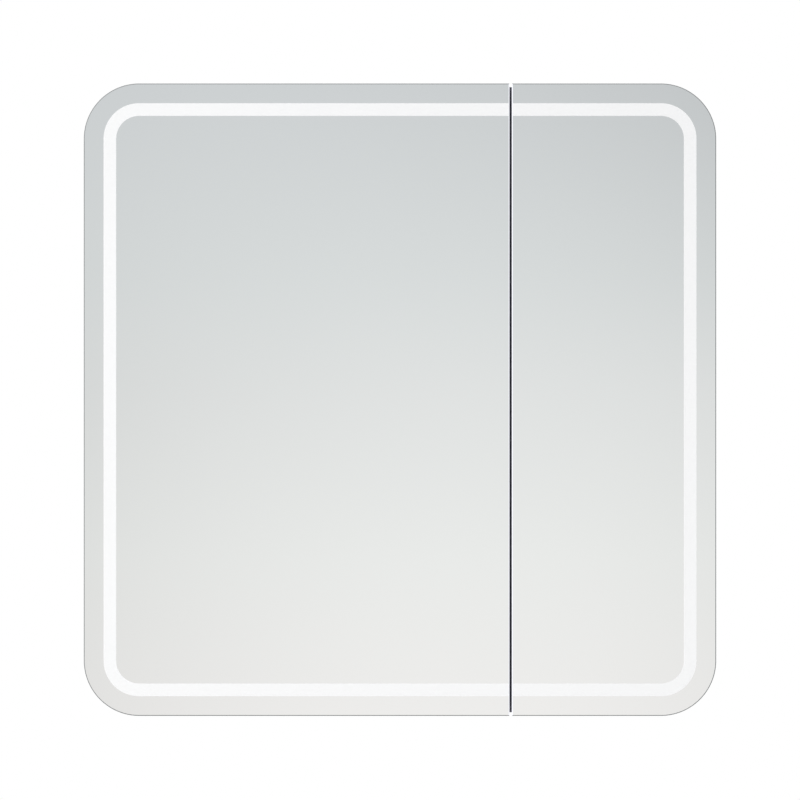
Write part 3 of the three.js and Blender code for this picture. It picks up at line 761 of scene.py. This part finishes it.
class CABINET_OT_doors(PieceOperator, bpy.types.Operator):
    """Makes the door cores and their bumpers"""

    bl_idname = "cabinet.doors"
    bl_label = "Door cores"

    def execute(self, context):
        board = context.scene.cabinet_board
        for side in DOORS:
            refined(side + "_door_core", "white", board.edge_radius)
        for node in NODES:
            if "_door_bumper_" in node:
                self.make_bumper(node)
        return {"FINISHED"}

    def make_bumper(self, node):
        """A soft dome: a straight foot, and a quarter turn over it."""
        low, high, middle = measured(node)
        radius = (high.x - low.x) / 2
        rise = high.y - low.y
        foot, steps = 0.35, 6
        dome = [(0, 0), (radius, 0), (radius, rise * foot)]
        for step in range(1, steps + 1):
            turn = step / steps * QUARTER
            away = radius * math.cos(turn) if step < steps else 0
            dome.append((away, rise * (foot + (1 - foot) * math.sin(turn))))
        stand_in(node, turned(dome, Vector((middle.x, low.y, middle.z)), Y), "bumper", smooth=50)


class CABINET_OT_box(PieceOperator, bpy.types.Operator):
    """Makes the box: panels, corner posts, divider, back, rails and the seal strip"""

    bl_idname = "cabinet.box"
    bl_label = "Box"

    def execute(self, context):
        board = context.scene.cabinet_board
        for node in NODES:
            if node.startswith(("side_panel", "corner_post")) or node in ("top_panel", "bottom_panel"):
                refined(node, "raw_rear", board.cut_radius)
        refined("divider_panel", "white", board.edge_radius)
        refined("back_panel", "hardboard", board.thin_radius)
        for node in ("hanging_rail", "lower_rail"):
            refined(node, "raw_top", board.cut_radius)
        self.make_seal("divider_seal")
        return {"FINISHED"}

    def make_seal(self, node):
        """The strip on the divider's front edge: a flat foot with a round bulb down its middle."""
        low, high, middle = measured(node)
        foot = high.y - 0.8 * MM
        bulb = 3.4 * MM
        steps = 10
        outline = [(low.x, high.y), (low.x, foot)]
        for step in range(steps + 1):
            turn = math.pi * step / steps
            outline.append((middle.x - bulb * math.cos(turn), foot + (low.y - foot) * math.sin(turn)))
        outline += [(high.x, foot), (high.x, high.y)]
        bm = bmesh.new()
        face = bm.faces.new([bm.verts.new((x, y, low.z)) for x, y in outline])
        grown = bmesh.ops.extrude_face_region(bm, geom=[face])["geom"]
        bmesh.ops.translate(bm, verts=verts_in(grown), vec=(0, 0, high.z - low.z))
        # Painted shade, in part: the strip's dark blue-grey is the rubber's own colour and also stands for
        # the shade in the gap between the doors.
        stand_in(node, bm, "rubber", name=node + "_strip", smooth=40)


class CABINET_OT_shelves(PieceOperator, bpy.types.Operator):
    """Makes the glass shelves and the pins that they rest on"""

    bl_idname = "cabinet.shelves"
    bl_label = "Shelves"

    def execute(self, context):
        fitting = context.scene.cabinet_fitting
        for node in NODES:
            if "_shelf_" in node:
                self.make_shelf(node, fitting)
                self.make_pins(node, fitting)
        return {"FINISHED"}

    def make_shelf(self, node, fitting):
        """A sheet of glass with ground edges."""
        low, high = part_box(node)
        bm = block(low, high, fitting.shelf_arris, 1)
        bm.normal_update()
        paint(bm, lambda face: 0 if abs(face.normal.z) > SQUARE else 1)
        stand_in(node, bm, "glass", "glass_edge", name=node + "_glass", smooth=20)

    def make_pins(self, node, fitting):
        """Four pins: a spigot in the panel, and a flat spoon under the glass."""
        low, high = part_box(node)
        radius = fitting.pin_radius
        under = low.z - 0.15 * MM
        inset = 14 * MM
        reach = 9 * MM
        half_spoon, spoon_depth = 2.6 * MM, 0.9 * MM
        spigot = [(0, 0), (radius * 1.5, 0), (radius * 1.5, 0.8 * MM), (radius, 1.1 * MM),
                  (radius, reach), (radius * 0.8, reach + 0.6 * MM), (0, reach + 0.6 * MM)]
        shapes = []
        for x, inward in ((low.x, X), (high.x, -X)):
            start, end = sorted((x, x + inward.x * (reach - MM)))
            for y in (low.y + inset, high.y - inset):
                root = Vector((x - inward.x * MM, y, under - radius))
                spoon_low = (start, y - half_spoon, under - spoon_depth)
                shapes.append(turned(spigot, root, inward, 20))
                shapes.append(block(spoon_low, (end, y + half_spoon, under), 0.3 * MM))
        piece(node + "_pins", gathered(shapes), BODY_OF[node], ["nickel"])


class CABINET_OT_hinges(PieceOperator, bpy.types.Operator):
    """Makes the hinges: arms, plates, sunk housings, pins and their screws"""

    bl_idname = "cabinet.hinges"
    bl_label = "Hinges"

    def execute(self, context):
        fitting = context.scene.cabinet_fitting
        for node in NODES:
            if "_hinge_" not in node:
                continue
            if node.endswith("_arm"):
                refined(node, "nickel", fitting.fine_edge)
            elif node.endswith("_housing"):
                refined(node, "nickel", fitting.fine_edge)
                self.screw_housing(node, fitting)
            elif node.endswith("_plate"):
                refined(node, "zinc", fitting.fine_edge)
                self.screw_plate(node, fitting)
            else:
                self.make_pin(node)
        return {"FINISHED"}

    def make_pin(self, node):
        """A pin with chamfered ends."""
        low, high, middle = measured(node)
        half = (high.z - low.z) / 2
        radius = (high.y - low.y) / 2
        tip, straight = radius * 0.8, half * 0.96
        profile = [(0, -half), (tip, -half), (radius, -straight), (radius, straight), (tip, half), (0, half)]
        stand_in(node, turned(profile, middle, Z, 20), "zinc")

    def screw_plate(self, node, fitting):
        """Two screws in the wings hold the plate, and two in the middle hold the arm to it."""
        low, high, middle = measured(node)
        arm_low, arm_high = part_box(node.replace("_plate", "_arm"))
        wing = 17 * MM
        inset = 10 * MM
        from_left = middle.x < 0
        face = high.x if from_left else low.x
        arm_face = arm_high.x if from_left else arm_low.x
        places = [(face, middle.y, middle.z + offset) for offset in (-wing, wing)]
        places += [(arm_face, y, middle.z) for y in (low.y + inset, high.y - inset)]
        screws(node.replace("_plate", "_screws"), node, places, X if from_left else -X, fitting)

    def screw_housing(self, node, fitting):
        """A screw above and below the housing's opening."""
        _, high, middle = measured(node)
        ear = 16.5 * MM
        places = [(middle.x, high.y, middle.z + offset) for offset in (-ear, ear)]
        screws(node + "_screws", node, places, Y, fitting)


class CABINET_OT_lights(PieceOperator, bpy.types.Operator):
    """Makes the diffusers and the light tapes with their chips"""

    bl_idname = "cabinet.lights"
    bl_label = "Lights"

    def execute(self, context):
        for side, sign in DOORS.items():
            refined(side + "_light_diffuser", "opal", context.scene.cabinet_fitting.moulded_edge)
            refined(side + "_light_tape", "tape", context.scene.cabinet_light.tape_edge)
            self.make_chips(side, sign, context.scene.cabinet_mirror, context.scene.cabinet_light)
        return {"FINISHED"}

    def make_chips(self, side, sign, mirror, light):
        """Chips at an even pitch along the tape: a run, a bend, the upright, a bend and the other run."""
        node = side + "_light_tape"
        low, high, middle = measured(node)
        bend = mirror.corner_radius - mirror.band_margin - mirror.band_width / 2
        inset = light.tape_width / 2 + bend
        run = high.x - low.x - inset
        half_upright = (high.z - low.z) / 2 - inset
        arc = bend * QUARTER
        corner_x = (high.x if sign > 0 else low.x) - sign * inset
        count = int(2 * (run + arc + half_upright) / light.chip_pitch)
        shapes = []
        for index in range(count + 1):
            along = (index - count / 2) * light.chip_pitch
            past_upright = abs(along) - half_upright
            up = 1 if along > 0 else -1
            if past_upright < 0:
                x, z, turn = corner_x + sign * bend, middle.z + along, 0
            elif past_upright < arc:
                turn = past_upright / bend
                x = corner_x + sign * bend * math.cos(turn)
                z = middle.z + up * (half_upright + bend * math.sin(turn))
            else:
                turn = QUARTER
                x = corner_x - sign * (past_upright - arc)
                z = middle.z + up * (half_upright + bend)
            shapes.append(self.chip((x, low.y, z), -sign * up * turn, light.chip_size))
        piece(side + "_light_chips", gathered(shapes), BODY_OF[node], ["plastic", "phosphor"])

    def chip(self, place, turn, size):
        """A light chip on the tape's face, with its phosphor window sunk in a white frame."""
        bm = block((-size / 2, -size / 4, -size / 2), (size / 2, 0, size / 2))
        face = min(bm.faces, key=lambda one: one.calc_center_median().y)
        bmesh.ops.inset_region(bm, faces=[face], thickness=size / 8, depth=-size / 16)
        face.material_index = 1
        bmesh.ops.transform(bm, verts=bm.verts,
                            matrix=Matrix.Translation(place) @ Matrix.Rotation(turn, 4, "Y"))
        return bm


class CABINET_OT_rear(PieceOperator, bpy.types.Operator):
    """Makes the hangers, the grommets, the light's driver and the terminal block"""

    bl_idname = "cabinet.rear"
    bl_label = "Rear fittings"

    def execute(self, context):
        fitting = context.scene.cabinet_fitting
        for side in DOORS:
            self.make_hanger("hanger_plate_" + side, fitting)
            self.make_grommet("lead_grommet_" + side)
        self.make_driver("light_driver", fitting)
        self.make_terminal("mains_terminal_block", fitting)
        return {"FINISHED"}

    def make_hanger(self, node, fitting):
        """A keyhole plate, sunk a little in the rail so that its four screws stay behind the rail's face."""
        low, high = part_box(node)
        sunk = 0.3 * MM
        inset = 7 * MM
        bm = node_copy(node)
        rear = [vert for vert in bm.verts if vert.co.y > high.y - sunk]
        bmesh.ops.translate(bm, verts=rear, vec=(0, -sunk, 0))
        round_edges(bm, sharp_edges(bm), fitting.fine_edge)
        stand_in(node, bm, "zinc")
        places = [(x, high.y - sunk, z) for x in (low.x + inset, high.x - inset)
                  for z in (low.z + inset, high.z - inset)]
        screws(node + "_screws", node, places, Y, fitting)

    def make_driver(self, node, fitting):
        """The driver's case with a sunk label panel, and a screw in each ear."""
        low, high, middle = measured(node)
        label_margin, label_wall, label_depth = 5 * MM, 0.4 * MM, 0.5 * MM
        bm = node_copy(node)
        rear = max(bm.faces, key=lambda one: (round(one.calc_center_median().y, 4), one.calc_area()))
        bmesh.ops.inset_region(bm, faces=[rear], thickness=label_margin, depth=0)
        bmesh.ops.inset_region(bm, faces=[rear], thickness=label_wall, depth=-label_depth)
        round_edges(bm, sharp_edges(bm, math.radians(40)), fitting.moulded_edge)
        stand_in(node, bm, "plastic")
        half_ear = fitting.ear_length / 2
        places = [(x, low.y + fitting.ear_thickness, middle.z) for x in (low.x + half_ear, high.x - half_ear)]
        screws(node + "_screws", node, places, Y, fitting, countersunk=False)

    def make_terminal(self, node, fitting):
        """The terminal block, with a slotted brass clamp screw over each way."""
        _, high, middle = measured(node)
        refined(node, "plastic", fitting.soft_edge)
        shapes = [self.clamp_screw(Vector((middle.x, high.y, middle.z + way * fitting.way_pitch)),
                                   fitting.clamp_radius) for way in (-1, 0, 1)]
        piece("terminal_screws", gathered(shapes), BODY_OF[node], ["brass", "rubber"])

    def clamp_screw(self, place, radius):
        """A screw head with a slot across it, sunk in a terminal's way."""
        crown, depth = 0.1 * MM, 1.5 * MM
        slot, slot_depth = radius * 0.15, 0.8 * MM
        rim = [(0, crown), (radius * 0.9, crown), (radius, 0), (radius, -depth), (0, -depth)]
        bm = turned(rim, place, Y, 24)
        for side in (-slot, slot):
            bmesh.ops.bisect_plane(bm, geom=[*bm.verts, *bm.edges, *bm.faces], dist=SAME_PLACE / 10,
                                   plane_co=place + Z * side, plane_no=Z)
        sunk = [face for face in bm.faces
                if face.normal.y > 0.9 and abs(face.calc_center_median().z - place.z) < slot]
        grown = bmesh.ops.extrude_face_region(bm, geom=sunk)["geom"]
        bmesh.ops.delete(bm, geom=sunk, context="FACES")
        bmesh.ops.translate(bm, verts=verts_in(grown), vec=(0, -slot_depth, 0))
        # Painted shade: the slot's walls and floor take the second, dark finish.
        for face in grown:
            if isinstance(face, bmesh.types.BMFace):
                face.material_index = 1
        return bm

    def make_grommet(self, node):
        """A rubber ring with a groove that the back panel sits in."""
        low, high, middle = measured(node)
        panel_low, panel_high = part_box("back_panel")
        half = (high.y - low.y) / 2
        waist = (panel_high.y - panel_low.y) / 2
        lip = (high.x - low.x) / 2
        neck = lip - 2.2 * MM
        bore = neck - 1.6 * MM
        flare, brim = bore + 0.5 * MM, lip - 0.7 * MM
        inner_half, outer_half = half * 0.75, half * 0.8
        profile = [(bore, -inner_half), (flare, -half), (brim, -half), (lip, -outer_half),
                   (lip, -waist), (neck, -waist), (neck, waist), (lip, waist),
                   (lip, outer_half), (brim, half), (flare, half), (bore, inner_half), (bore, -inner_half)]
        stand_in(node, turned(profile, middle, Y), "rubber", smooth=40)


class CABINET_OT_switch(PieceOperator, bpy.types.Operator):
    """Makes the rocker switch under the cabinet"""

    bl_idname = "cabinet.switch"
    bl_label = "Switch"

    def execute(self, context):
        fitting = context.scene.cabinet_fitting
        refined("switch_frame", "plastic", fitting.moulded_edge, 3)
        refined("switch_rocker", "plastic", fitting.soft_edge, 3)
        return {"FINISHED"}


class CABINET_OT_stage(PieceOperator, bpy.types.Operator):
    """Makes the floor, the card that the mirrors reflect, the lights and the white surroundings"""

    bl_idname = "cabinet.stage"
    bl_label = "Stage"

    def execute(self, context):
        stage = context.scene.cabinet_stage
        floor_level = CAD_LOW.z - stage.floor_drop
        self.make_floor(context, stage, floor_level)
        self.make_card(context, stage, floor_level)
        self.make_lights(context)
        self.make_sky(context, stage)
        context.scene.view_settings.view_transform = "Standard"
        return {"FINISHED"}

    def place(self, context, name, bm, finish):
        """Writes a bmesh as a part of the stage."""
        mesh = bpy.data.meshes.new(name)
        bm.to_mesh(mesh)
        bm.free()
        mesh.materials.append(finish)
        made = bpy.data.objects.new(name, mesh)
        context.scene.collection.objects.link(made)
        return made

    def make_floor(self, context, stage, level):
        """A round pale floor that fades to white towards its rim, as a studio sweep does."""
        bm = bmesh.new()
        bmesh.ops.create_circle(bm, cap_ends=True, segments=96, radius=stage.floor_radius)
        bmesh.ops.translate(bm, verts=bm.verts, vec=(CENTRE.x, CENTRE.y, level))
        made = Finish("pale floor", stage.floor, 0.6, Specular_IOR_Level=0.2)
        made.color(made.mottled(made.noise(2), stage.floor, 0.985))
        away = made.node("TexGradient", gradient_type="SPHERICAL")
        made.link(made.mapped((1 / stage.floor_radius, 1 / stage.floor_radius, 0)), away.inputs[0])
        white = made.node("Emission")
        blend = made.node("MixShader")
        made.link(made.ramp(away.outputs["Fac"], [(0.02, 1), (0.75, 0)], "EASE"), blend.inputs[0])
        made.link(made.shader.outputs[0], blend.inputs[1])
        made.link(white.outputs[0], blend.inputs[2])
        made.link(blend.outputs[0], made.tree.nodes["Material Output"].inputs["Surface"])
        self.place(context, "floor", bm, made.material)

    def make_card(self, context, stage, floor_level):
        """A tall card behind the camera: cool grey above, warm white below, with wings that fade to white.

        The part that the front view reflects is brightest along a line that leans left as it rises.
        """
        half = (CAD_HIGH.z - CENTRE.z) * (1 + stage.card_distance / camera_reach(stage))
        half_size = 8
        wing_height = 4.5
        line_foot, lean_start, lean = 0.2, 0.52, 1.2
        loss, loss_lift, darkest = 0.075, 0.015, 0.8
        bm = bmesh.new()
        upright = Matrix.Rotation(QUARTER, 4, "X")
        bmesh.ops.create_grid(bm, x_segments=1, y_segments=1, size=half_size, matrix=upright)
        bmesh.ops.translate(bm, verts=bm.verts, vec=(
            CENTRE.x, CAD_LOW.y - stage.card_distance, CENTRE.z + half_size / 2))
        made = Finish("reflected card", (0, 0, 0), 1.0, Specular_IOR_Level=0.0, Emission_Strength=1.0)
        rise = made.spread(made.part("Z"), CENTRE.z - half, CENTRE.z + half)
        shades = made.ramp(rise, [
            (0.0, (0.968, 0.95, 0.938)), (0.25, (0.924, 0.928, 0.915)), (0.5, (0.848, 0.857, 0.853)),
            (0.7, (0.773, 0.795, 0.797)), (1.0, (0.69, 0.711, 0.724))])
        upper = made.math("MAXIMUM", made.math("SUBTRACT", rise, lean_start))
        line = made.math("SUBTRACT", line_foot, made.math("MULTIPLY", upper, lean))
        steepness = made.math("SUBTRACT", loss, made.math("MULTIPLY", rise, loss_lift))
        across = made.math("SUBTRACT", made.math("MULTIPLY", made.part("X"), 1 / half), line)
        drop = made.math("MULTIPLY", made.math("MULTIPLY", across, across), steepness)
        fall = made.math("MAXIMUM", made.math("SUBTRACT", 1.0, drop), darkest)
        middle = made.mix(1.0, shades, fall, "MULTIPLY")
        height = made.spread(made.part("Z"), floor_level, floor_level + wing_height)
        wings = made.ramp(height, [(0, (1, 1, 1)), (1, (0.76, 0.775, 0.785))])
        aside = made.spread(made.math("ABSOLUTE", made.part("X")), half * 1.1, half * 2.2)
        made.link(made.mix(aside, middle, wings), made.shader.inputs["Emission Color"])
        card = self.place(context, "reflected_card", bm, made.material)
        card.visible_camera = False

    def make_lights(self, context):
        """One broad soft light from the upper left, and a weaker one behind on the right."""
        for name, place, power in (("key", (-3.2, -3.4, 2.6), 130), ("rear", (3.0, 3.2, 2.2), 90)):
            data = bpy.data.lights.new(name, "AREA")
            data.energy = power
            data.size = 2.5
            light = bpy.data.objects.new(name + "_light", data)
            light.location = place
            light.rotation_euler = (CENTRE - Vector(place)).to_track_quat("-Z", "Y").to_euler()
            light.visible_glossy = False
            light.visible_camera = False
            context.scene.collection.objects.link(light)

    def make_sky(self, context, stage):
        """White to the camera and in reflections, and a little greyer as light."""
        world = bpy.data.worlds.new("white studio")
        context.scene.world = world
        world.use_nodes = True
        nodes, links = world.node_tree.nodes, world.node_tree.links
        soft, white = nodes["Background"], nodes.new("ShaderNodeBackground")
        for background, strength in ((soft, stage.sky), (white, 1)):
            background.inputs["Color"].default_value = (1, 1, 1, 1)
            background.inputs["Strength"].default_value = strength
        path = nodes.new("ShaderNodeLightPath")
        seen = nodes.new("ShaderNodeMath")
        seen.operation = "MAXIMUM"
        choice = nodes.new("ShaderNodeMixShader")
        links.new(path.outputs["Is Camera Ray"], seen.inputs[0])
        links.new(path.outputs["Is Glossy Ray"], seen.inputs[1])
        links.new(seen.outputs[0], choice.inputs[0])
        links.new(soft.outputs[0], choice.inputs[1])
        links.new(white.outputs[0], choice.inputs[2])
        links.new(choice.outputs[0], nodes["World Output"].inputs["Surface"])


SETTINGS = {
    "cabinet_mirror": MirrorSettings,
    "cabinet_board": BoardSettings,
    "cabinet_fitting": FittingSettings,
    "cabinet_light": LightSettings,
    "cabinet_stage": StageSettings,
}
OPERATORS = (
    CABINET_OT_camera,
    CABINET_OT_mirrors,
    CABINET_OT_doors,
    CABINET_OT_box,
    CABINET_OT_shelves,
    CABINET_OT_hinges,
    CABINET_OT_lights,
    CABINET_OT_rear,
    CABINET_OT_switch,
    CABINET_OT_stage,
)


class CABINET_PT_panel(bpy.types.Panel):
    """Lists the cabinet's settings and its operators."""

    bl_label = "Mirror Cabinet"
    bl_idname = "CABINET_PT_panel"
    bl_space_type = "VIEW_3D"
    bl_region_type = "UI"
    bl_category = "Cabinet"

    def draw(self, context):
        for attribute, group in SETTINGS.items():
            box = self.layout.box()
            settings = getattr(context.scene, attribute)
            for prop in group.__annotations__:
                box.prop(settings, prop)
        for operator in OPERATORS:
            self.layout.operator(operator.bl_idname)


def register():
    """Registers the settings, the operators and the panel."""
    for attribute, group in SETTINGS.items():
        bpy.utils.register_class(group)
        setattr(bpy.types.Scene, attribute, PointerProperty(type=group))
    for operator in OPERATORS:
        bpy.utils.register_class(operator)
    bpy.utils.register_class(CABINET_PT_panel)


def unregister():
    """Takes them out again."""
    bpy.utils.unregister_class(CABINET_PT_panel)
    for operator in reversed(OPERATORS):
        bpy.utils.unregister_class(operator)
    for attribute, group in reversed(SETTINGS.items()):
        delattr(bpy.types.Scene, attribute)
        bpy.utils.unregister_class(group)


def main():
    """Builds everything in order."""
    register()
    for operator in OPERATORS:
        getattr(bpy.ops.cabinet, operator.bl_idname.partition(".")[2])()


if __name__ == "__main__":
    main()
